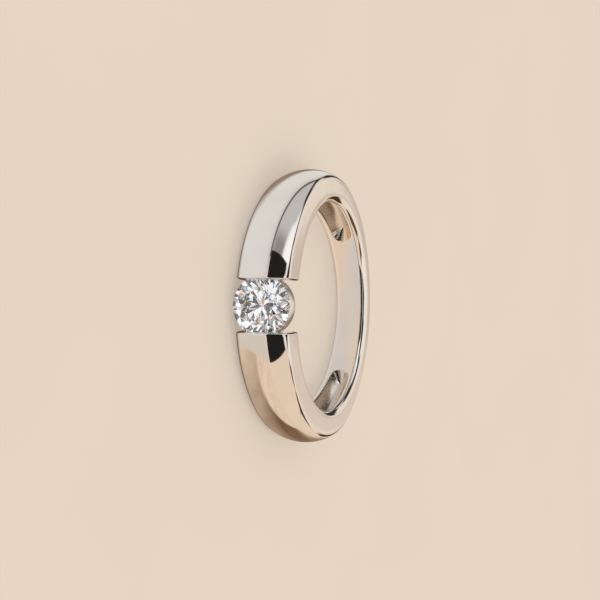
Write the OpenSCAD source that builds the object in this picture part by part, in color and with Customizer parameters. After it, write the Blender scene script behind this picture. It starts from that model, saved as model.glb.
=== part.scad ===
// Tension set ring: a domed band whose two shoulders grip a round brilliant stone.
// The ring lies on its side. The finger hole's centre is the origin and the stone points along -Y.

/* [Finger hole] */
// Diameter of the finger hole
finger_d = 17; // [14:0.5:22]
// Distance that the hole's rounded edge reaches across each side face
edge_reach = 0.62; // [0.3:0.02:0.9]
// Depth that the hole's rounded edge drops into the hole
edge_drop = 0.47; // [0.2:0.01:0.55]
// Radius of the hole's rounded edge
edge_r = 0.8; // [0.7:0.02:1.5]

/* [Band] */
// Thickness of the band at the stone, from the finger hole to the top of its dome
shoulder_t = 3.52; // [3.2:0.02:4.4]
// Thickness of the band at the back, from the finger hole to the top of its dome
back_t = 1.68; // [1.4:0.02:2.6]
// Width of the band at the stone
front_w = 4.55; // [4:0.05:6]
// Width of the band at the back
back_w = 2.6; // [2.3:0.05:4]
// Radius of the dome across the outside of the band
dome_r = 3.36; // [3.1:0.02:8]

/* [Pockets] */
// Metal left between a pocket's floor and the outside of the band
pocket_wall = 1; // [0.7:0.05:1.2]
// Flat land between a pocket's side and the rounded edge of the finger hole
pocket_land = 0.1; // [0.05:0.01:0.25]
// Angle from the stone to the near end of a pocket
pocket_from = 64; // [60:1:80]
// Angle from the stone to the far end of a pocket
pocket_to = 141; // [100:1:160]

/* [Stone] */
// Diameter of the stone
stone_d = 4.75; // [4:0.05:5.4]
// Depth of the stone's girdle below the top of the band's dome
stone_drop = 0.85; // [0.7:0.05:1]
// Width of the table as a share of the stone's diameter
table_share = 0.56; // [0.5:0.01:0.65]
// Slope of the crown's main facets
crown_angle = 34.5; // [30:0.5:37]
// Slope of the pavilion's main facets
pavilion_angle = 40.8; // [39:0.2:42]
// Thickness of the girdle
girdle_t = 0.12; // [0.06:0.01:0.2]

/* [Setting] */
// Depth that the girdle is let into each shoulder's end
grip = 0.175; // [0.1:0.005:0.3]
// Slope of each shoulder's end, which opens outwards
end_flare = 6; // [0:0.5:10]
// Depth of the seat ring's lower face below the middle of the girdle
seat_depth = 1.2; // [1:0.05:1.5]
// Distance that the seat ring's outside lies in from the stone's girdle
seat_inset = 0.08; // [0.06:0.01:0.12]
// Diameter of the opening through the seat ring
seat_hole_d = 3.2; // [2.4:0.1:3.6]
// Clearance between the stone and the metal
stone_gap = 0.03; // [0.01:0.01:0.06]

/* [Hidden] */
$fn = 128;

finger_r = finger_d / 2;
stone_r = stone_d / 2;

// The outside of the band is round about an axis that lies a little towards the stone.
front_y = -(finger_r + shoulder_t);
back_y = finger_r + back_t;
outer_r = (back_y - front_y) / 2;
outer_y = (back_y + front_y) / 2;

// The side faces lean in towards the back.
taper = (front_w - back_w) / 2 / (back_y - front_y);
taper_angle = atan(taper);
function half_width(y) = front_w / 2 - taper * (y - front_y);

// Distance from the outer axis to the sharp edge between the dome and a side face
function edge_radius(half) = outer_r - dome_r + sqrt(dome_r * dome_r - half * half);

// Cutting shapes run past the metal by this much.
over = 2;
reach = outer_r + over;

// The stone's middle, and the half gap between the shoulders there
girdle_y = front_y + stone_drop;
half_gap = stone_r - grip;
function half_gap_at(y) = half_gap + (girdle_y - y) * tan(end_flare);

// The hole's rounded edge is an arc from the side face, at edge_reach, to the hole's wall, at edge_drop.
edge_chord = sqrt(edge_reach * edge_reach + edge_drop * edge_drop);
edge_rise = sqrt(edge_r * edge_r - edge_chord * edge_chord / 4);
edge_x = edge_reach / 2 + edge_rise * edge_drop / edge_chord;
edge_z = -edge_drop / 2 - edge_rise * edge_reach / edge_chord;

// Half of a pocket's greatest width at an angle from the stone, and the angle that its round end takes there
pocket_inset = edge_drop + pocket_land;
function widest_y(angle) = -(angle < 90 ? outer_r : finger_r) * cos(angle);
function pocket_half(angle) = half_width(widest_y(angle)) - pocket_inset;
function round_end(angle) = pocket_half(angle) / finger_r * 180 / PI;

// Lying on its side the ring rests on the back of its lower side face and on whatever reaches lowest in front:
// the stone's girdle, the seat ring or the side face itself.
seat_r = stone_r - seat_inset;
back_edge_y = outer_y + edge_radius(half_width(back_y));
function lean(y, r) = atan((r - half_width(back_edge_y)) / (back_edge_y - y));
rest_angle = max(taper_angle, lean(girdle_y + girdle_t / 2, stone_r), lean(girdle_y + seat_depth, seat_r));

// Stone: shares of a round brilliant cut
star_share = 0.5;
lower_share = 0.77;
girdle_sides = 32;
mains = 8;
main_step = 360 / mains;
half_step = main_step / 2;
side_step = 360 / girdle_sides;
per_main = girdle_sides / mains;
table_r = stone_r * table_share;
crown_h = (stone_r - table_r) * tan(crown_angle);
pavilion_h = stone_r * tan(pavilion_angle);
star_r = table_r * cos(half_step) + star_share * (stone_r - table_r * cos(half_step));
star_z = girdle_t / 2 + (stone_r - star_r * cos(half_step)) * tan(crown_angle);
lower_r = stone_r * (1 - lower_share);
lower_z = -girdle_t / 2 - (stone_r - lower_r * cos(half_step)) * tan(pavilion_angle);

// Height lost at the middle of a girdle facet, where the round stone bulges past the facet's chord
bulge = stone_r * (1 - cos(side_step)) / (stone_r * cos(side_step) - star_r * cos(side_step));
crown_scallop = bulge * (star_z - girdle_t / 2);
lower_bulge = stone_r * (1 - cos(side_step)) / (stone_r * cos(side_step) - lower_r * cos(side_step));
pavilion_scallop = lower_bulge * (-girdle_t / 2 - lower_z);

function on_circle(r, angle, z) = [r * cos(angle), r * sin(angle), z];
function is_odd(i) = i % 2 == 1;

module lying() {
    rotate([-rest_angle, 0, 0]) children();
}

// Solid of revolution about the outer axis with the dome as its outer profile
module domed_hoop() {
    translate([0, outer_y, 0])
        rotate_extrude()
            intersection() {
                translate([outer_r - dome_r, 0]) circle(dome_r);
                translate([finger_r / 2, -reach]) square([reach, 2 * reach]);
            }
}

// Block between the two side faces, each moved in by an inset
module side_block(inset) {
    far_y = back_y + over;
    near_y = front_y - over;
    rotate([90, 0, 90])
        translate([0, 0, -reach])
            linear_extrude(2 * reach)
                polygon([
                    [near_y, inset - half_width(near_y)],
                    [far_y, inset - half_width(far_y)],
                    [far_y, half_width(far_y) - inset],
                    [near_y, half_width(near_y) - inset]
                ]);
}

// Space between the ends of the shoulders
module shoulder_gap() {
    out_y = front_y - over;
    in_y = -finger_r / 2;
    translate([0, 0, -reach])
        linear_extrude(2 * reach)
            polygon([
                [-half_gap_at(out_y), out_y],
                [half_gap_at(out_y), out_y],
                [half_gap_at(in_y), in_y],
                [-half_gap_at(in_y), in_y]
            ]);
}

// Rounded edge of the finger hole on the upper side face, square to that face
module upper_hole_edge() {
    translate([0, 0, half_width(0)])
        rotate([-taper_angle, 0, 0])
            rotate_extrude()
                difference() {
                    translate([finger_r - over, edge_z]) square([over + edge_x, over - edge_z]);
                    translate([finger_r + edge_x, edge_z]) circle(edge_r);
                }
}

module hole_edges() {
    upper_hole_edge();
    mirror([0, 0, 1]) upper_hole_edge();
}

module finger_hole() {
    translate([0, 0, -reach]) cylinder(r = finger_r, h = 2 * reach);
}

// Round end of a pocket, cut along the radius
module pocket_end(angle, half) {
    rotate([0, 0, angle - 90])
        translate([finger_r / 2, 0, 0])
            rotate([0, 90, 0])
                cylinder(r = half + pocket_land / 2, h = reach);
}

// Long pocket inside the shoulder on the +X side
module pocket() {
    first = pocket_from + round_end(pocket_from);
    last = pocket_to - round_end(pocket_to);
    intersection() {
        union() {
            rotate([0, 0, first - 90])
                rotate_extrude(angle = last - first)
                    translate([finger_r - over, -front_w]) square([shoulder_t + over, 2 * front_w]);
            pocket_end(first, pocket_half(pocket_from));
            pocket_end(last, pocket_half(pocket_to));
        }
        side_block(pocket_inset);
        translate([0, outer_y, -reach]) cylinder(r = outer_r - pocket_wall, h = 2 * reach);
    }
}

// Places the stone's own frame, with its axis along +Z, at the stone's seat
module at_stone() {
    translate([0, girdle_y, 0]) rotate([90, 0, 0]) children();
}

// Low ring under the stone that joins the two shoulders
module seat_ring() {
    seat_top = -girdle_t;
    at_stone()
        rotate_extrude()
            polygon([
                [seat_hole_d / 2, -seat_depth],
                [seat_r, -seat_depth],
                [seat_r, seat_top],
                [seat_hole_d / 2, seat_top]
            ]);
}

// Space for the stone: its round outline, crown and pavilion, all larger by the clearance
module stone_space() {
    side = stone_r + stone_gap;
    rim = girdle_t / 2 + stone_gap;
    at_stone()
        rotate_extrude()
            polygon([
                [0, -rim - side * tan(pavilion_angle)],
                [side, -rim],
                [side, rim],
                [0, rim + side * tan(crown_angle)]
            ]);
}

module band() {
    color("gainsboro")
        lying()
            difference() {
                union() {
                    difference() {
                        intersection() {
                            domed_hoop();
                            side_block(0);
                        }
                        shoulder_gap();
                    }
                    seat_ring();
                }
                finger_hole();
                hole_edges();
                pocket();
                mirror([1, 0, 0]) pocket();
                stone_space();
            }
}

// Round brilliant: table, stars, kites, upper girdle facets, girdle, lower girdle facets and pavilion mains
module brilliant() {
    table_points = [for (i = [0:mains - 1]) on_circle(table_r, i * main_step, girdle_t / 2 + crown_h)];
    star_points = [for (i = [0:mains - 1]) on_circle(star_r, (i + 0.5) * main_step, star_z)];
    upper_points = [for (i = [0:girdle_sides - 1])
        on_circle(stone_r, i * side_step, girdle_t / 2 - (is_odd(i) ? crown_scallop : 0))];
    under_points = [for (i = [0:girdle_sides - 1])
        on_circle(stone_r, i * side_step, -girdle_t / 2 + (is_odd(i) ? pavilion_scallop : 0))];
    lower_points = [for (i = [0:mains - 1]) on_circle(lower_r, (i + 0.5) * main_step, lower_z)];
    culet = [0, 0, -girdle_t / 2 - pavilion_h];

    star_at = mains;
    upper_at = 2 * mains;
    under_at = upper_at + girdle_sides;
    lower_at = under_at + girdle_sides;
    culet_at = lower_at + mains;
    half_main = per_main / 2;

    table = [[for (i = [mains - 1:-1:0]) i]];
    stars = [for (i = [0:mains - 1]) [i, (i + 1) % mains, star_at + i]];
    kites = [for (i = [0:mains - 1])
        [i, star_at + i, upper_at + i * per_main, star_at + (i + mains - 1) % mains]];
    upper_girdle = [for (i = [0:mains - 1], s = [0, half_main], j = [0:half_main - 1])
        [star_at + i, upper_at + (i * per_main + s + j + 1) % girdle_sides, upper_at + i * per_main + s + j]];
    girdle = [for (i = [0:girdle_sides - 1])
        [upper_at + i, upper_at + (i + 1) % girdle_sides, under_at + (i + 1) % girdle_sides, under_at + i]];
    lower_girdle = [for (i = [0:mains - 1], s = [0, half_main], j = [0:half_main - 1])
        [lower_at + i, under_at + i * per_main + s + j, under_at + (i * per_main + s + j + 1) % girdle_sides]];
    pavilion = [for (i = [0:mains - 1])
        [culet_at, lower_at + (i + mains - 1) % mains, under_at + i * per_main, lower_at + i]];

    polyhedron(
        points = concat(table_points, star_points, upper_points, under_points, lower_points, [culet]),
        faces = concat(table, stars, kites, upper_girdle, girdle, lower_girdle, pavilion)
    );
}

module stone() {
    color("white")
        lying()
            at_stone()
                brilliant();
}

band();
stone();
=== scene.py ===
import math

import bmesh
import bpy
from mathutils import Euler, Matrix, Vector


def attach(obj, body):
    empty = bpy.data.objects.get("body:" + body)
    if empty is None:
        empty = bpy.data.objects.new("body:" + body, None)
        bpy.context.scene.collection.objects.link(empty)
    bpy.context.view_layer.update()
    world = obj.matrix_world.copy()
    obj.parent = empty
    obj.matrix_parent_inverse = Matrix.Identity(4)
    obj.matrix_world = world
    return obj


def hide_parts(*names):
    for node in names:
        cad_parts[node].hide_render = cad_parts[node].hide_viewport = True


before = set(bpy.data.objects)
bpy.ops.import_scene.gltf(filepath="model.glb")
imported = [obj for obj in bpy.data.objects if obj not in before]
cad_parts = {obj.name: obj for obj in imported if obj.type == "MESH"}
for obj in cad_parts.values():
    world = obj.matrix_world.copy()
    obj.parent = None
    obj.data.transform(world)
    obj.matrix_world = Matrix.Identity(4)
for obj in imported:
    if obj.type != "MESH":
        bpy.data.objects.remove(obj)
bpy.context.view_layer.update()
print("frame loaded:", sorted(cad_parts))

# The ring is modelled in millimetres about its own finger hole, and then laid on its side.
restAngle = 2.8953  # degrees that the hole leans back, because the ring rests on its stone and its back
toMetres = 0.001
layDown = Matrix.Rotation(math.radians(-restAngle), 4, "X") @ Matrix.Diagonal((toMetres, toMetres, toMetres, 1))
floorHeight = -0.001811
weld = 1e-4  # millimetres within which vertices are joined
snap = 1e-5  # and within which one lies on a cutting plane
toDegrees = 180 / math.pi


def meshFrom(bm, name, materials):
    mesh = bpy.data.meshes.new(name)
    bm.to_mesh(mesh)
    bm.free()
    for material in materials:
        mesh.materials.append(material)
    return mesh


def addObject(name, data):
    thing = bpy.data.objects.new(name, data)
    bpy.context.scene.collection.objects.link(thing)
    return thing


def finishPiece(bm, name, materials, smooth=True):
    bmesh.ops.transform(bm, matrix=layDown, verts=bm.verts)
    mesh = meshFrom(bm, name, materials)
    for face in mesh.polygons:
        face.use_smooth = smooth
    return addObject(name, mesh)


def bakeModifiers(piece):
    graph = bpy.context.evaluated_depsgraph_get()
    mesh = bpy.data.meshes.new_from_object(piece.evaluated_get(graph))
    piece.modifiers.clear()
    piece.data = mesh


# Nodes
def addNode(tree, kind, values=None, **settings):
    node = tree.nodes.new(kind)
    for key, value in settings.items():
        setattr(node, key, value)
    for key, value in (values or {}).items():
        if isinstance(value, bpy.types.NodeSocket):
            tree.links.new(value, node.inputs[key])
        else:
            node.inputs[key].default_value = value
    return node


def calc(tree, operation, a, b=0.0, clamp=False):
    return addNode(tree, "ShaderNodeMath", {0: a, 1: b}, operation=operation, use_clamp=clamp).outputs[0]


def noise(tree, place, scale, detail):
    return addNode(tree, "ShaderNodeTexNoise", {"Vector": place, "Scale": scale, "Detail": detail}).outputs[0]


def distanceTo(tree, place, point):
    node = addNode(tree, "ShaderNodeVectorMath", {0: place, 1: point}, operation="DISTANCE")
    return node.outputs["Value"]


def mixColour(tree, factor, a, b, mode="MIX"):
    # sockets 6 and 7 are the colour inputs of a Mix node, and output 2 its colour
    node = addNode(tree, "ShaderNodeMix", {0: factor, 6: a, 7: b}, data_type="RGBA", blend_type=mode)
    return node.outputs[2]


def mixShader(tree, factor, a, b):
    return addNode(tree, "ShaderNodeMixShader", {0: factor, 1: a, 2: b}).outputs[0]


def ramp(tree, factor, stops, kind="LINEAR"):
    node = addNode(tree, "ShaderNodeValToRGB", {"Fac": factor})
    node.color_ramp.interpolation = kind
    while len(node.color_ramp.elements) < len(stops):
        node.color_ramp.elements.new(0.5)
    for element, (place, colour) in zip(node.color_ramp.elements, stops):
        element.position = place
        element.color = colour
    return node.outputs["Color"]


def screenTone(red, green, blue, strength=1.0):
    # the light that shows as this colour, 0 to 255, on the screen: the screen's own curve turned round
    light = []
    for level in (red / 255, green / 255, blue / 255):
        light.append(level / 12.92 if level < 0.0404 else ((level + 0.055) / 1.055) ** 2.4)
    return (light[0] * strength, light[1] * strength, light[2] * strength, 1.0)


def newGroup(name, inputs, outputs):
    group = bpy.data.node_groups.new(name, "ShaderNodeTree")
    for label, value in inputs:
        socket = group.interface.new_socket(name=label, in_out="INPUT", socket_type="NodeSocketFloat")
        socket.default_value = value
    for label, kind in outputs:
        group.interface.new_socket(name=label, in_out="OUTPUT", socket_type=kind)
    return group, group.nodes.new("NodeGroupInput").outputs, group.nodes.new("NodeGroupOutput").inputs


# Metal. Hand polish leaves broad waves, hairline scratches and a slight change of tone.
polish = {
    "waveDetail": 1.0,
    "waveTone": [(0.3, (0.965, 0.96, 0.955, 1)), (0.7, (1, 1, 1, 1))],
    "hairlines": [  # scale, stretch and turn of two sets that cross
        (2600.0, (1.0, 1.0, 14.0), (0.3, 0.5, 0.0)),
        (2100.0, (11.0, 1.0, 2.0), (0.9, 0.1, 0.6)),
    ],
    "hairDetail": 6.0,
    "hairDepth": 0.02,  # as a share of a wave's
    "clearShine": 0.8,  # share of the roughness that is there without a hairline
}


def makePolishWear():
    group, given, made = newGroup(
        "polishWear",
        [("Wave Size", 900.0), ("Hairlines", 0.3), ("Shine", 0.06)],
        [("Tone", "NodeSocketColor"), ("Roughness", "NodeSocketFloat"), ("Height", "NodeSocketFloat")])
    place = addNode(group, "ShaderNodeTexCoord").outputs["Object"]
    waves = noise(group, place, given["Wave Size"], polish["waveDetail"])
    lines = []
    for scale, stretch, turn in polish["hairlines"]:
        drawn = addNode(group, "ShaderNodeMapping", {"Vector": place, "Scale": stretch, "Rotation": turn})
        lines.append(noise(group, drawn.outputs[0], scale, polish["hairDetail"]))
    hair = calc(group, "MULTIPLY", calc(group, "MULTIPLY", *lines), given["Hairlines"])
    rough = calc(group, "MULTIPLY", given["Shine"], calc(group, "ADD", hair, polish["clearShine"]))
    height = calc(group, "ADD", waves, calc(group, "MULTIPLY", hair, polish["hairDepth"]))
    group.links.new(ramp(group, waves, polish["waveTone"]), made["Tone"])
    group.links.new(rough, made["Roughness"])
    group.links.new(height, made["Height"])
    return group


polishWear = makePolishWear()
metal = {
    "polished": {"colour": (0.9, 0.893, 0.882, 1), "waveSize": 420.0, "waveDepth": 0.000004,
                 "hairlines": 0.5, "shine": 0.05},
    "satin": {"colour": (0.86, 0.852, 0.84, 1), "waveSize": 500.0, "waveDepth": 0.000002,
              "hairlines": 0.6, "shine": 0.16},
    # painted shade: the slot's metal is tinted darker and warmer than the polished outside
    "slot": {"colour": (0.82, 0.77, 0.71, 1), "waveSize": 500.0, "waveDepth": 0.000002,
             "hairlines": 0.6, "shine": 0.22},
    # a round, softly polished wall, with a painted shade line along its edges where it turns away from the
    # camera
    "seat": {"colour": (0.93, 0.92, 0.9, 1), "waveSize": 700.0, "waveDepth": 0.000003,
             "hairlines": 0.5, "shine": 0.34,
             "outline": (0.32, 0.23, 0.16, 1), "outlineFrom": 0.62, "outlineTo": 0.9},
}


def metalFinish(name, look):
    material = bpy.data.materials.new(name)
    material.use_nodes = True
    tree = material.node_tree
    shader = tree.nodes["Principled BSDF"]
    wear = addNode(tree, "ShaderNodeGroup", node_tree=polishWear)
    for label, key in (("Wave Size", "waveSize"), ("Hairlines", "hairlines"), ("Shine", "shine")):
        wear.inputs[label].default_value = look[key]
    tint = mixColour(tree, 1.0, look["colour"], wear.outputs["Tone"], "MULTIPLY")
    # painted edge shade: a darker tone mixed in where the surface turns away from the camera
    if "outline" in look:
        facing = addNode(tree, "ShaderNodeLayerWeight", {"Blend": 0.5}).outputs["Facing"]
        limits = {"Value": facing, "From Min": look["outlineFrom"], "From Max": look["outlineTo"]}
        tint = mixColour(tree, addNode(tree, "ShaderNodeMapRange", limits).outputs[0], tint, look["outline"])
    bump = addNode(tree, "ShaderNodeBump", {"Height": wear.outputs["Height"], "Distance": look["waveDepth"]})
    shader.inputs["Metallic"].default_value = 1.0
    tree.links.new(tint, shader.inputs["Base Color"])
    tree.links.new(wear.outputs["Roughness"], shader.inputs["Roughness"])
    tree.links.new(bump.outputs["Normal"], shader.inputs["Normal"])
    return material


polishedGold = metalFinish("polishedGold", metal["polished"])
seatGold = metalFinish("seatGold", metal["seat"])
slotGold = metalFinish("slotGold", metal["slot"])
satinGold = metalFinish("satinGold", metal["satin"])
print("metal finishes made")

# Band. Angles run from the stone round to the back, the same on both sides.
hoop = {
    "fingerR": 8.5,
    "outerR": 11.1,  # of the outside, which is round about an axis a little towards the stone
    "outerY": -0.92,
    "domeR": 3.36,
    "frontY": -12.02,
    "frontHalf": 2.275,  # half the width at the stone
    "taper": 0.043919,  # of half the width, for each millimetre towards the back
    "holeReach": 0.68,  # of the hole's rounded edge across the side face
    "holeDrop": 0.47,  # and into the hole
    "cornerSoft": 0.17,  # from the sharp corner to where its rounding starts
    "gapHalf": 2.02,  # from the stone's axis to a shoulder's end, at the girdle
    "girdleY": -11.17,
    "flare": 4.0,
    "endSoft": 0.24,  # rounding of a shoulder's end
    "endHalfThick": 1.7,  # half the section's thickness there
    "endFade": 0.6,  # radians along the shoulder over which the shape of its end dies away
    "toeReach": 1.0,  # how far from the hole the shoulder's end starts to curve back
    "toeBack": 0.24,
    "centreR": 10.0,  # middle of the section, towards which its rounded end draws in
    "wallSlack": 0.002,  # how far past the finger's radius still counts as the hole's wall
    "sharpAngle": 40.0,
    # steps round half of the section, and across a shoulder's rounded end
    "wallSteps": 24,
    "wallBunch": 1.4,  # above 1 draws the wall's steps together near its edge
    "holeEdgeSteps": 12,
    "sideSteps": 3,
    "cornerSteps": 7,
    "domeSteps": 18,
    "endSteps": 8,
    # degrees between the stations along the band
    "firstAngle": 12.0,
    "shoulderTo": 60.0,
    "shoulderStep": 0.7,
    "plainStep": 1.4,
    "tipStep": 0.3,
    "spunTurn": 340.0,  # of the rough hoop, which is left open so that its vertices can be told apart
}
slot = {
    "first": 64.0,  # degrees from the stone to the slot's near tip
    "last": 141.0,
    "wall": 1.0,  # metal left outside the floor
    "land": 0.1,
    "slope": 2.0,  # of its sides
    "footSoft": 1.5,  # where they run into its floor
    "rimSoft": 0.07,
    "tipIn": 5.0,  # degrees from a tip to the middle of its finer stations
    "tipReach": 6.0,  # and from there to the last of them
    "finishFrom": 0.03,  # depth at which the slot's own finish starts
}


def halfWidth(y):
    return hoop["frontHalf"] - hoop["taper"] * (y - hoop["frontY"])


def reachTo(angle, fromOuterAxis):
    # distance from the finger's axis, towards angle, of a circle about the outer axis
    along = -math.cos(angle) * hoop["outerY"]
    return along + math.sqrt(along ** 2 - hoop["outerY"] ** 2 + fromOuterAxis ** 2)


def domeReach(angle, z):
    return reachTo(angle, hoop["outerR"] - hoop["domeR"] + math.sqrt(hoop["domeR"] ** 2 - z * z))


def sideAt(angle, r):
    return halfWidth(-r * math.cos(angle))


def cornerAt(angle):
    # where the dome and the side face would meet in a sharp corner: radius and height
    r = hoop["outerR"]
    for _ in range(8):
        r = domeReach(angle, sideAt(angle, r))
    return r, sideAt(angle, r)


def domeStart(angle, corner):
    # the point of the dome that lies cornerSoft from the sharp corner
    near, far = corner[1] - hoop["cornerSoft"], corner[1]
    for _ in range(20):
        z = (near + far) / 2
        if math.dist((domeReach(angle, z), z), corner) < hoop["cornerSoft"]:
            far = z
        else:
            near = z
    return domeReach(angle, z), z


def sectionPoint(angle, corner, step):
    # one point of the upper half of the band's section: radius and height
    hole = hoop["fingerR"]
    wallTop = sideAt(angle, hole) - hoop["holeDrop"]
    if step <= hoop["wallSteps"]:
        return hole, wallTop * (1 - (1 - step / hoop["wallSteps"]) ** hoop["wallBunch"])
    step -= hoop["wallSteps"]
    if step <= hoop["holeEdgeSteps"]:
        turn = math.pi / 2 * step / hoop["holeEdgeSteps"]
        r = hole + hoop["holeReach"] * (1 - math.cos(turn))
        return r, sideAt(angle, r) - hoop["holeDrop"] * (1 - math.sin(turn))
    step -= hoop["holeEdgeSteps"]
    sideEnd = corner[0] - hoop["cornerSoft"]
    if step <= hoop["sideSteps"]:
        start = hole + hoop["holeReach"]
        r = start + (sideEnd - start) * step / hoop["sideSteps"]
        return r, sideAt(angle, r)
    step -= hoop["sideSteps"]
    dome = domeStart(angle, corner)
    if step <= hoop["cornerSteps"]:
        t = step / hoop["cornerSteps"]
        weights = ((1 - t) ** 2, 2 * t * (1 - t), t * t)
        points = ((sideEnd, sideAt(angle, sideEnd)), corner, dome)
        return tuple(sum(w * p[i] for w, p in zip(weights, points)) for i in (0, 1))
    step -= hoop["cornerSteps"]
    z = dome[1] * (1 - step / hoop["domeSteps"])
    return domeReach(angle, z), z


def slotDepth(angle, z):
    # how far the slot takes the hole's wall outwards at this place
    inset = hoop["holeDrop"] + slot["land"]
    span = [math.radians(slot["first"]), math.radians(slot["last"])]
    half = [halfWidth(-hoop["fingerR"] * math.cos(a)) - inset for a in span]
    middle = [span[0] + half[0] / hoop["fingerR"], span[1] - half[1] / hoop["fingerR"]]
    along = max(0.0, middle[0] - angle, angle - middle[1]) * hoop["fingerR"]
    if along:
        inside = (half[0] if angle < middle[0] else half[1]) - math.hypot(along, z)
    else:
        inside = sideAt(angle, hoop["fingerR"]) - inset - abs(z)
    floor = reachTo(angle, hoop["outerR"] - slot["wall"]) - hoop["fingerR"]
    depth = inside * slot["slope"]
    near = max(0.0, 1 - abs(depth - floor) / slot["footSoft"])
    depth = min(depth, floor) - near ** 2 * slot["footSoft"] / 4
    if abs(depth) < slot["rimSoft"]:
        return (depth + slot["rimSoft"]) ** 2 / (4 * slot["rimSoft"])
    return max(0.0, depth)


def stationAngles():
    # degrees from the stone, closer together along the shoulder and round the slot's two tips
    first = hoop["firstAngle"]
    tips = (slot["first"] + slot["tipIn"], slot["last"] - slot["tipIn"])
    angles = [first]
    while angles[-1] < 180:
        step = hoop["shoulderStep"] if angles[-1] < hoop["shoulderTo"] else hoop["plainStep"]
        if any(abs(angles[-1] - tip) < slot["tipReach"] for tip in tips):
            step = hoop["tipStep"]
        angles.append(angles[-1] + step)
    return [first + (a - first) * (180 - first) / (angles[-1] - first) for a in angles]


def endAngle(r):
    # where a circle of radius r meets the flared end of a shoulder
    flare = math.radians(hoop["flare"])
    across = (hoop["gapHalf"] + hoop["girdleY"] * math.tan(flare)) * math.cos(flare)
    return flare + math.asin(across / r)


def spinHoop(around, turns):
    # a rough open hoop of round section, whose vertices makeBand moves to their places
    bm = bmesh.new()
    bmesh.ops.create_circle(bm, segments=around, radius=1.0)
    upright = Matrix.Rotation(math.radians(90), 3, "X")
    bmesh.ops.rotate(bm, cent=(0, 0, 0), matrix=upright, verts=bm.verts)
    bmesh.ops.translate(bm, vec=(hoop["centreR"], 0, 0), verts=bm.verts)
    bmesh.ops.spin(bm, geom=bm.verts[:] + bm.edges[:], cent=(0, 0, 0), axis=(0, 0, 1),
                   angle=math.radians(hoop["spunTurn"]), steps=turns)
    return bm


def makeBand():
    bases = [math.radians(a) for a in stationAngles()]
    corners = [cornerAt(base) for base in bases]
    first = bases[0]
    endSteps = hoop["endSteps"]
    parts = ("wallSteps", "holeEdgeSteps", "sideSteps", "cornerSteps", "domeSteps")
    halfSteps = sum(hoop[part] for part in parts)
    around = 2 * halfSteps
    perSide = endSteps + len(bases) - 1
    turns = 2 * perSide
    spunStep = math.radians(hoop["spunTurn"]) / turns
    bm = spinHoop(around, turns)
    slotShare = bm.verts.layers.float.new("slotShare")
    for v in bm.verts:
        # which station and which step of the section this vertex is
        station = round(math.atan2(v.co.y, v.co.x) / spunStep)
        station += round(math.tau / spunStep) if station < 0 else 0
        turn = math.atan2(v.co.z, hoop["centreR"] - math.hypot(v.co.x, v.co.y))
        step = round(turn / math.tau * around) % around
        upper = 1 if step <= halfSteps else -1
        step = min(step, around - step)
        side = 1 if station <= perSide else -1
        station = min(station, turns - station)
        base, corner = bases[max(0, station - endSteps)], corners[max(0, station - endSteps)]
        r, z = sectionPoint(base, corner, step)
        depth = slotDepth(base, z) if step < hoop["wallSteps"] else 0.0
        v[slotShare] = depth
        # the rounded end: back from the end's plane, and in towards the middle of the section
        turnIn = math.pi / 2 * max(0, 1 - station / endSteps)
        shrink = hoop["endSoft"] * (1 - math.cos(turnIn)) / hoop["endHalfThick"]
        back = hoop["endSoft"] * (1 - math.sin(turnIn))
        back += hoop["toeBack"] * max(0.0, 1 - (r - hoop["fingerR"]) / hoop["toeReach"]) ** 2
        r = r + depth + (hoop["centreR"] - r) * shrink
        z *= 1 - shrink
        start = endAngle(r)
        angle = start + (base - first) * (math.pi - start) / (math.pi - first)
        angle += back / r * max(0.0, 1 - (base - first) / hoop["endFade"])
        v.co = (side * r * math.sin(angle), -r * math.cos(angle), upper * z)
    bmesh.ops.edgeloop_fill(bm, edges=[e for e in bm.edges if e.is_boundary])
    bmesh.ops.recalc_face_normals(bm, faces=bm.faces)
    wallR = hoop["fingerR"] + hoop["wallSlack"]
    for face in bm.faces:
        # 0 is the outside's finish, 1 the hole's and 2 the slot's
        inSlot = any(v[slotShare] > slot["finishFrom"] for v in face.verts)
        inHole = max(math.hypot(v.co.x, v.co.y) for v in face.verts) < wallR
        face.material_index = 2 if inSlot else 1 if inHole else 0
    return bm


gem = {
    "r": 2.375,
    "girdle": 0.12,
    "table": 0.56,
    "crownAngle": 34.5,
    "pavilionAngle": 40.8,
    "starShare": 0.5,
    "lowerShare": 0.77,
    "mains": 8,  # main facets above, and as many below
    "turn": 8.0,  # degrees about its own axis
    "clearance": 0.03,
    "roundSides": 96,
    "blankDepth": 8.0,  # of the round piece that it is cut from
}
spaceR = gem["r"] + gem["clearance"]  # of the space that the metal leaves for the stone
spaceRim = gem["girdle"] / 2 + gem["clearance"]
toStone = Matrix.Translation((0, hoop["girdleY"], 0)) @ Matrix.Rotation(math.radians(90), 4, "X")


def spinOutline(points, closed):
    # an outline of radius and height, spun about +Z; an open one starts and ends on the axis
    bm = bmesh.new()
    corners = [bm.verts.new((r, 0, z)) for r, z in points]
    pairs = list(zip(corners, corners[1:] + corners[:1]))
    for pair in pairs if closed else pairs[:-1]:
        bm.edges.new(pair)
    bmesh.ops.spin(bm, geom=bm.verts[:] + bm.edges[:], cent=(0, 0, 0), axis=(0, 0, 1),
                   angle=math.tau, steps=gem["roundSides"], use_merge=True)
    bmesh.ops.remove_doubles(bm, verts=bm.verts, dist=weld)
    bmesh.ops.recalc_face_normals(bm, faces=bm.faces)
    return bm


def spaceAt(r, slope):
    # how far the stone's space reaches from the girdle's plane at radius r
    return spaceRim + (spaceR - r) * math.tan(math.radians(slope))


def makeStoneSpace():
    bottom, top = -spaceAt(0, gem["pavilionAngle"]), spaceAt(0, gem["crownAngle"])
    bm = spinOutline([(0, bottom), (spaceR, -spaceRim), (spaceR, spaceRim), (0, top)], closed=False)
    bmesh.ops.transform(bm, matrix=toStone, verts=bm.verts)
    return bm


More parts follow.
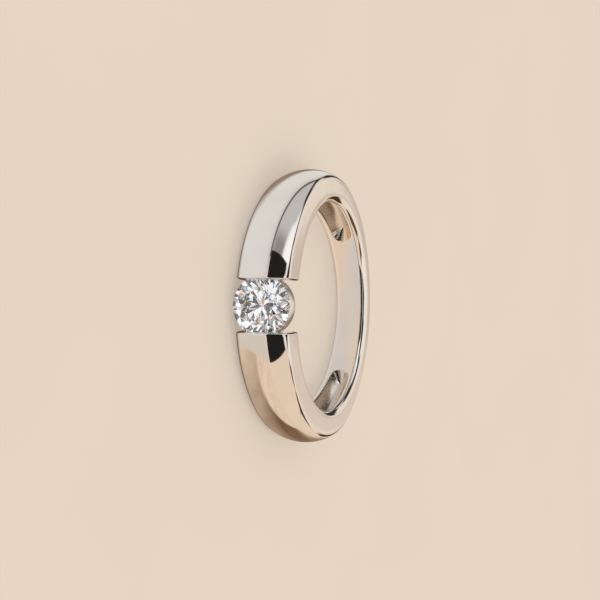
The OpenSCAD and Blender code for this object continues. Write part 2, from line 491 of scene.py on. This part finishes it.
seat = {
    "holeR": 1.6,
    "outerR": 2.32,
    "depth": 1.33,
    "edgeSoft": 0.07,
    "edgeSegments": 4,
}


def makeSeatRing():
    inner, outer, foot = seat["holeR"], seat["outerR"], -seat["depth"]
    tops = [-spaceAt(r, gem["pavilionAngle"]) for r in (outer, inner)]
    bm = spinOutline([(inner, foot), (outer, foot), (outer, tops[0]), (inner, tops[1])], closed=True)
    rims = []
    for edge in bm.edges:
        a, b = edge.verts[0].co, edge.verts[1].co
        if abs(a.z - b.z) < weld and abs(a.xy.length - b.xy.length) < weld:
            rims.append(edge)
    bmesh.ops.bevel(bm, geom=rims, affect="EDGES", offset=seat["edgeSoft"],
                    segments=seat["edgeSegments"], profile=0.5, material=-1)
    bmesh.ops.transform(bm, matrix=toStone, verts=bm.verts)
    return bm


bandPiece = finishPiece(makeBand(), "band_metal", [polishedGold, satinGold, slotGold])
space = finishPiece(makeStoneSpace(), "stone_space", [])
groove = bandPiece.modifiers.new("groove", "BOOLEAN")
groove.object = space
groove.operation = "DIFFERENCE"
groove.solver = "EXACT"
bakeModifiers(bandPiece)
bpy.data.objects.remove(space)
bandPiece.data.set_sharp_from_angle(angle=math.radians(hoop["sharpAngle"]))
seatPiece = finishPiece(makeSeatRing(), "seat_ring", [seatGold])
for piece in (bandPiece, seatPiece):
    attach(piece, "root")
    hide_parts("band")
print("band and seat ring made:", len(bandPiece.data.polygons), "faces")


# Stone
def cutFacet(bm, azimuth, slope, through):
    # cuts away what lies beyond a facet that slopes down from the axis; through is a radius and a height on it
    up = 1 if slope >= 0 else -1
    tilt = math.radians(abs(slope))
    out = Vector((math.cos(math.radians(azimuth)), math.sin(math.radians(azimuth)), 0))
    normal = out * math.sin(tilt) + Vector((0, 0, up * math.cos(tilt)))
    point = out * through[0] + Vector((0, 0, through[1]))
    found = bmesh.ops.bisect_plane(bm, geom=bm.verts[:] + bm.edges[:] + bm.faces[:], dist=snap,
                                   plane_co=point, plane_no=normal, clear_outer=True)
    rim = [e for e in found["geom_cut"] if isinstance(e, bmesh.types.BMEdge)]
    bmesh.ops.edgeloop_fill(bm, edges=rim)


def makeStone():
    r, half = gem["r"], gem["girdle"] / 2
    step = 360 / gem["mains"]
    cosHalf, cosQuarter = math.cos(math.radians(step / 2)), math.cos(math.radians(step / 4))
    crown, pavilion = math.radians(gem["crownAngle"]), math.radians(gem["pavilionAngle"])
    tableR = r * gem["table"]
    tableZ = half + (r - tableR) * math.tan(crown)
    starR = tableR * cosHalf + gem["starShare"] * (r - tableR * cosHalf)
    starZ = half + (r - starR * cosHalf) * math.tan(crown)
    lowerR = r * (1 - gem["lowerShare"])
    lowerZ = -half - (r - lowerR * cosHalf) * math.tan(pavilion)
    starSlope = math.degrees(math.atan2(tableZ - starZ, starR - tableR * cosHalf))
    upperSlope = math.degrees(math.atan2(starZ - half, (r - starR) * cosQuarter))
    lowerSlope = math.degrees(math.atan2(-half - lowerZ, (r - lowerR) * cosQuarter))
    bm = bmesh.new()
    bmesh.ops.create_cone(bm, cap_ends=True, segments=gem["roundSides"], radius1=r, radius2=r,
                          depth=gem["blankDepth"])
    for i in range(gem["mains"]):
        azimuth = gem["turn"] + i * step
        cutFacet(bm, azimuth, gem["crownAngle"], (r, half))
        cutFacet(bm, azimuth, -gem["pavilionAngle"], (r, -half))
    for i in range(gem["mains"]):
        azimuth = gem["turn"] + (i + 0.5) * step
        cutFacet(bm, azimuth, starSlope, (starR, starZ))
        for aside in (-step / 4, step / 4):
            cutFacet(bm, azimuth + aside, upperSlope, (r * cosQuarter, half))
            cutFacet(bm, azimuth + aside, -lowerSlope, (r * cosQuarter, -half))
    cutFacet(bm, 0, 0, (0, tableZ))
    bmesh.ops.remove_doubles(bm, verts=bm.verts, dist=weld)
    bmesh.ops.recalc_face_normals(bm, faces=bm.faces)
    bmesh.ops.transform(bm, matrix=toStone, verts=bm.verts)
    return bm


clearStone = {
    "cloudScale": 900.0,
    "cloudDetail": 3.0,
    "tint": [(0.35, (0.985, 0.99, 1, 1)), (0.65, (1, 1, 1, 1))],
    "roughness": 0.004,
    "ior": 2.417,
}


def diamondFinish():
    material = bpy.data.materials.new("brilliantStone")
    material.use_nodes = True
    tree = material.node_tree
    shader = tree.nodes["Principled BSDF"]
    place = addNode(tree, "ShaderNodeTexCoord").outputs["Object"]
    cloud = noise(tree, place, clearStone["cloudScale"], clearStone["cloudDetail"])
    rough = calc(tree, "MULTIPLY", cloud, clearStone["roughness"])
    tree.links.new(ramp(tree, cloud, clearStone["tint"]), shader.inputs["Base Color"])
    tree.links.new(rough, shader.inputs["Roughness"])
    shader.inputs["IOR"].default_value = clearStone["ior"]
    shader.inputs["Transmission Weight"].default_value = 1.0
    return material


stonePiece = finishPiece(makeStone(), "round_stone", [diamondFinish()], smooth=False)
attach(stonePiece, "root")
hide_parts("stone")
print("stone cut:", len(stonePiece.data.polygons), "facets")


# Floor and studio. Both are plain where the camera or the floor's own light meets them. The metal also
# sees softboxes, flags and a graded floor, because plain surroundings leave polished metal flat and grey.
def softStep(tree, value, limit, soft, sign=1.0):
    # 0 to 1 across a soft edge at limit, rising in the direction of sign
    past = calc(tree, "MULTIPLY", calc(tree, "SUBTRACT", value, limit), sign)
    share = calc(tree, "ADD", calc(tree, "DIVIDE", past, soft), 0.5, clamp=True)
    return addNode(tree, "ShaderNodeMapRange", {"Value": share}, interpolation_type="SMOOTHSTEP").outputs[0]


patchLimits = ("From Azimuth", "To Azimuth", "From Elevation", "To Elevation", "Soft", "Slant")


def makeSoftPatch():
    group, given, made = newGroup(
        "softPatch",
        [("Azimuth", 0.0), ("Elevation", 0.0), ("From Azimuth", 0.0), ("To Azimuth", 0.0),
         ("From Elevation", 0.0), ("To Elevation", 0.0), ("Soft", 1.0), ("Slant", 0.0)],
        [("Mask", "NodeSocketFloat")])
    lean = calc(group, "MULTIPLY", given["Elevation"], given["Slant"])
    upright = calc(group, "SUBTRACT", given["Azimuth"], lean)
    mask = 1.0
    for axis, value in (("Azimuth", upright), ("Elevation", given["Elevation"])):
        for limit, sign in (("From ", 1.0), ("To ", -1.0)):
            share = softStep(group, value, given[limit + axis], given["Soft"], sign)
            mask = calc(group, "MULTIPLY", mask, share)
    group.links.new(mask, made["Mask"])
    return group


softPatch = makeSoftPatch()


def layPatch(tree, under, azimuth, elevation, name, limits, tone):
    # one softbox or flag, laid over the colours that are there so far
    values = dict(zip(patchLimits, limits), Azimuth=azimuth, Elevation=elevation)
    patch = addNode(tree, "ShaderNodeGroup", values, node_tree=softPatch, label=name)
    return mixColour(tree, patch.outputs["Mask"], under, tone)


def azimuthOf(tree, x, y):
    # degrees from -Y towards +X
    turn = calc(tree, "ARCTAN2", x, calc(tree, "MULTIPLY", y, -1.0))
    return calc(tree, "MULTIPLY", turn, toDegrees)


# What the metal sees of the floor, by place in metres about the ring. An edge gives its place, its softness,
# and -1 where what it brings in lies below that place.
seenFloor = {
    "leftNear": screenTone(229, 224, 217),
    "leftFar": screenTone(212, 208, 203),
    "farEdge": (0.05, 0.08),
    "frontRight": screenTone(219, 206, 192),
    "frontEdge": (0.001, 0.006),
    # painted shade of the ring on the floor, close to the band's outside
    "leftEdge": screenTone(150, 130, 113),
    "leftMiddle": (0, 0.003, 0),
    "leftEdgeFrom": (0.0137, 0.0012, -1.0),
    "right": screenTone(236, 210, 184),
    "rightSlant": 1.05,
    "rightEdge": (-0.00855, 0.0008),
    "rightFrom": (-0.004, 0.002),
    "mottle": (380.0, 4.0),
    "mottleTone": [(0.34, (0.88, 0.875, 0.87, 1)), (0.64, (1.05, 1.05, 1.05, 1))],
    "shade": screenTone(128, 98, 72),
    "shadeSlant": 0.83,
    "shadeEdge": (0.0189, 0.002, -1.0),
    "shadeFrom": 0.001,
    "shadeGrows": 0.013,
    "shadePower": 1.2,
    "shadeTo": (0.012, 0.02, -1.0),
    # painted shade on the floor under the band
    "underRing": screenTone(96, 76, 60),
    "ringMiddle": (0, -0.00092, floorHeight),
    "ringEdge": (0.0105, 0.0004, -1.0),
    "holeLeft": screenTone(243, 215, 188),
    "holeRight": screenTone(222, 213, 205),
    "holeAcross": (-0.001, 0.006),
    "behindStone": screenTone(156, 130, 106),
    "stoneEdge": (-0.003, 0.003, -1.0),
    "holeEdge": (0.009, 0.0004, -1.0),
}


def floorLeft(tree, place, x, distance):
    # cool and light, with painted shade close to the band's outside
    look = seenFloor
    colour = mixColour(tree, softStep(tree, distance, *look["farEdge"]), look["leftNear"], look["leftFar"])
    colour = mixColour(tree, softStep(tree, x, *look["frontEdge"]), colour, look["frontRight"])
    fromMiddle = distanceTo(tree, place, look["leftMiddle"])
    return mixColour(tree, softStep(tree, fromMiddle, *look["leftEdgeFrom"]), colour, look["leftEdge"])


def floorRight(tree, place, x, y):
    # warm and slightly mottled, with the shade that the ring throws beside itself
    look = seenFloor
    outward = calc(tree, "SUBTRACT", calc(tree, "MULTIPLY", x, look["shadeSlant"]), y)
    shade = softStep(tree, outward, *look["shadeEdge"])
    past = calc(tree, "SUBTRACT", x, look["shadeFrom"])
    growth = calc(tree, "DIVIDE", past, look["shadeGrows"], clamp=True)
    shade = calc(tree, "MULTIPLY", shade, calc(tree, "POWER", growth, look["shadePower"]))
    shade = calc(tree, "MULTIPLY", shade, softStep(tree, y, *look["shadeTo"]))
    colour = mixColour(tree, shade, look["right"], look["shade"])
    mottle = ramp(tree, noise(tree, place, *look["mottle"]), look["mottleTone"])
    return mixColour(tree, 1.0, colour, mottle, "MULTIPLY")


def makeSeenFloor(tree, place):
    look = seenFloor
    x, y = addNode(tree, "ShaderNodeSeparateXYZ", {0: place}).outputs[:2]
    distance = distanceTo(tree, place, (0, 0, 0))
    slanted = calc(tree, "ADD", x, calc(tree, "MULTIPLY", y, look["rightSlant"]))
    side = softStep(tree, slanted, *look["rightEdge"])
    side = calc(tree, "MULTIPLY", side, softStep(tree, x, *look["rightFrom"]))
    seen = mixColour(tree, side, floorLeft(tree, place, x, distance), floorRight(tree, place, x, y))
    # painted shade on the floor under the band
    fromRing = distanceTo(tree, place, look["ringMiddle"])
    seen = mixColour(tree, softStep(tree, fromRing, *look["ringEdge"]), seen, look["underRing"])
    hole = mixColour(tree, softStep(tree, x, *look["holeAcross"]), look["holeLeft"], look["holeRight"])
    hole = mixColour(tree, softStep(tree, y, *look["stoneEdge"]), hole, look["behindStone"])
    return mixColour(tree, softStep(tree, distance, *look["holeEdge"]), seen, hole)


floorFlag = {
    # where the upright flag runs on over the floor, beside the upper shoulder
    "middle": (-0.010, 0.004, 0),
    "below": -0.004,  # the floor's height from there
    "limits": (-153, -138.5, -11, 21, 4, 1.15),
    "tone": screenTone(66, 58, 50),
}


def flagOnFloor(tree, place, colour):
    ends = {0: place, 1: floorFlag["middle"]}
    fromMiddle = addNode(tree, "ShaderNodeVectorMath", ends, operation="SUBTRACT").outputs[0]
    x, y = addNode(tree, "ShaderNodeSeparateXYZ", {0: fromMiddle}).outputs[:2]
    reach = distanceTo(tree, place, floorFlag["middle"])
    elevation = calc(tree, "MULTIPLY", calc(tree, "ARCTAN2", floorFlag["below"], reach), toDegrees)
    return layPatch(tree, colour, azimuthOf(tree, x, y), elevation, "upright flag", floorFlag["limits"],
                    floorFlag["tone"])


paleFloor = {
    "size": 3.0,
    "tones": (screenTone(230, 217, 202), screenTone(236, 224, 210)),
    "cloud": (60.0, 4.0),
    "roughness": 0.9,
    "ownLight": 0.45,
}


def makeFloor():
    bm = bmesh.new()
    bmesh.ops.create_grid(bm, x_segments=1, y_segments=1, size=paleFloor["size"])
    bmesh.ops.translate(bm, vec=(0, 0, floorHeight), verts=bm.verts)
    material = bpy.data.materials.new("paleFloor")
    material.use_nodes = True
    tree = material.node_tree
    shader = tree.nodes["Principled BSDF"]
    shader.inputs["Roughness"].default_value = paleFloor["roughness"]
    place = addNode(tree, "ShaderNodeTexCoord").outputs["Object"]
    plain = mixColour(tree, noise(tree, place, *paleFloor["cloud"]), *paleFloor["tones"])
    tree.links.new(plain, shader.inputs["Base Color"])
    own = addNode(tree, "ShaderNodeEmission", {"Color": plain}).outputs[0]
    seenColour = flagOnFloor(tree, place, makeSeenFloor(tree, place))
    seen = addNode(tree, "ShaderNodeEmission", {"Color": seenColour}).outputs[0]
    clear = addNode(tree, "ShaderNodeBsdfTransparent").outputs[0]
    # the plain floor for the camera, the graded one for the metal, and none for light through the stone
    rays = addNode(tree, "ShaderNodeLightPath").outputs
    lit = mixShader(tree, paleFloor["ownLight"], shader.outputs[0], own)
    surface = mixShader(tree, rays["Is Glossy Ray"], lit, seen)
    surface = mixShader(tree, rays["Is Transmission Ray"], surface, clear)
    tree.links.new(surface, tree.nodes["Material Output"].inputs["Surface"])
    return addObject("floor", meshFrom(bm, "floor", [material]))


floorPiece = makeFloor()

studio = {
    # azimuth in degrees from the stone's side (-Y) towards +X, elevation above the floor
    "plain": screenTone(238, 229, 218),
    "low": screenTone(233, 216, 198),
    "high": screenTone(246, 238, 228),
    "highFrom": 60.0,
    "patches": [
        # name, from and to azimuth, from and to elevation, softness, slant, colour
        ("left flat", -150, -40, 3, 60, 2.5, 0, screenTone(199, 194, 190)),
        ("left flat shade", -63, -30, 3, 60, 20, 0, screenTone(148, 143, 138)),
        ("left flat foot", -140, -40, -3, 3.4, 2.0, 0, screenTone(112, 106, 100)),
        ("left softbox", -82, -42, 31, 60, 9, 0, screenTone(253, 251, 247, 1.05)),
        ("left softbox arm", -116, -78, 33, 60, 8, 0, screenTone(250, 248, 244)),
        ("upright flag", -153, -136.5, -9, 28, 4, 1.15, screenTone(30, 26, 22)),
        ("right flat", 46, 150, 1, 52, 3, 0, screenTone(236, 213, 188)),
        ("behind the camera", -45.5, 47.5, 3, 46.5, 1.0, 0, screenTone(35, 33, 31)),
        ("above the camera", -45, 47, 48.5, 53, 2, 0, screenTone(243, 238, 232)),
        ("ceiling flag", -112, 60, 54, 82, 3, 0, screenTone(42, 36, 31)),
        ("ceiling gap left", -136, -108, 50, 61, 4, 0, screenTone(88, 66, 50)),
        ("ceiling gap right", 72, 136, 50, 61, 4, 0, screenTone(88, 66, 50)),
        ("side flag left", -146, -114, 22, 58, 5, 0, screenTone(66, 54, 45)),
        ("side flag right", 109, 146, 20, 47, 6, 0, screenTone(98, 68, 44)),
        ("far flag left", -173.5, -150, -8, 15, 4.5, 0, screenTone(58, 50, 43)),
        ("far flag right", 150, 173.5, -8, 15, 4.5, 0, screenTone(70, 48, 30)),
        ("far middle left", -190, -178.6, 5, 20, 1.6, 0, screenTone(212, 195, 179)),
        ("far middle right", 178.4, 190, 5, 20, 1.6, 0, screenTone(212, 195, 179)),
        ("far foot left", -190, -176, 3, 12.6, 0.3, 0, screenTone(208, 191, 176)),
        ("far foot right", 176.5, 190, 3, 12.45, 0.3, 0, screenTone(208, 191, 176)),
        ("far right", 176, 178.4, 5, 20, 1.6, 0, screenTone(224, 207, 191)),
    ],
}
sparkle = {
    # what the stone gathers from all round: bright panes with darker gaps, and a few warm and blue ones
    "paneScale": 7.5,
    "shift": (1.1, 9.3, 2.2),
    "tones": [(0.0, screenTone(0, 0, 0)), (0.17, screenTone(86, 87, 90)), (0.32, screenTone(162, 164, 168)),
              (0.48, screenTone(212, 214, 217)), (0.66, screenTone(250, 251, 253, 1.25))],
    "warmShare": 0.05,
    "blueShare": 0.06,
    "warm": screenTone(205, 146, 66),
    "blue": screenTone(164, 178, 208),
}


def makeSparkle(tree, place):
    shifted = addNode(tree, "ShaderNodeVectorMath", {0: place, 1: sparkle["shift"]}, operation="ADD").outputs[0]
    panes = addNode(tree, "ShaderNodeTexVoronoi", {"Vector": shifted, "Scale": sparkle["paneScale"]})
    chance = addNode(tree, "ShaderNodeSeparateColor", {0: panes.outputs["Color"]}).outputs
    tone = ramp(tree, chance[0], sparkle["tones"], "CONSTANT")
    tone = mixColour(tree, calc(tree, "LESS_THAN", chance[1], sparkle["warmShare"]), tone, sparkle["warm"])
    return mixColour(tree, calc(tree, "LESS_THAN", chance[2], sparkle["blueShare"]), tone, sparkle["blue"])


def makeStudio():
    world = bpy.data.worlds.new("studio")
    bpy.context.scene.world = world
    world.use_nodes = True
    tree = world.node_tree
    place = addNode(tree, "ShaderNodeTexCoord").outputs["Generated"]
    x, y, z = addNode(tree, "ShaderNodeSeparateXYZ", {0: place}).outputs[:3]
    azimuth = azimuthOf(tree, x, y)
    elevation = calc(tree, "MULTIPLY", calc(tree, "ARCSINE", z), toDegrees)
    rise = calc(tree, "DIVIDE", elevation, studio["highFrom"], clamp=True)
    colour = mixColour(tree, rise, studio["low"], studio["high"])
    for name, *limits, tone in studio["patches"]:
        colour = layPatch(tree, colour, azimuth, elevation, name, limits, tone)
    rays = addNode(tree, "ShaderNodeLightPath").outputs
    colour = mixColour(tree, rays["Is Glossy Ray"], studio["plain"], colour)
    colour = mixColour(tree, rays["Is Transmission Ray"], colour, makeSparkle(tree, place))
    tree.links.new(colour, tree.nodes["Background"].inputs["Color"])


makeStudio()

lamp = {"place": (0.18, 0.05, 0.42), "size": 0.16, "power": 0.25, "colour": (1.0, 0.95, 0.88)}
lampData = bpy.data.lights.new("softLamp", "AREA")
lampData.shape = "DISK"
lampData.size = lamp["size"]
lampData.energy = lamp["power"]
lampData.color = lamp["colour"]
lampPiece = addObject("softLamp", lampData)
lampPiece.location = lamp["place"]
lampPiece.rotation_euler = (-Vector(lamp["place"])).to_track_quat("-Z", "Y").to_euler()
lampPiece.visible_glossy = False  # the polished metal has the studio's patches instead
print("floor and studio light set")

# Camera: the photograph's view of the ring, turned on its side with it
view = {
    "place": (-0.0016347, -0.1861895, 0.0835757),
    "turn": (-2.7449, -65.4775, 92.6503),
    "lens": 150.0,
    "sensor": 36.0,
    "nearest": 0.005,
    "farthest": 20.0,
}
cameraData = bpy.data.cameras.new("camera")
cameraData.sensor_width = view["sensor"]
cameraData.lens = view["lens"]
cameraData.clip_start = view["nearest"]
cameraData.clip_end = view["farthest"]
camera = addObject("camera", cameraData)
camera.location = view["place"]
camera.rotation_euler = Euler([math.radians(a) for a in view["turn"]], "XYZ")
bpy.context.scene.camera = camera

scene = bpy.context.scene
scene.view_settings.view_transform = "Standard"
scene.cycles.use_denoising = True
bounces = {"max_bounces": 24, "transmission_bounces": 20, "glossy_bounces": 8}  # many, for the stone
for kind, count in bounces.items():
    setattr(scene.cycles, kind, count)
print("camera and render light set")
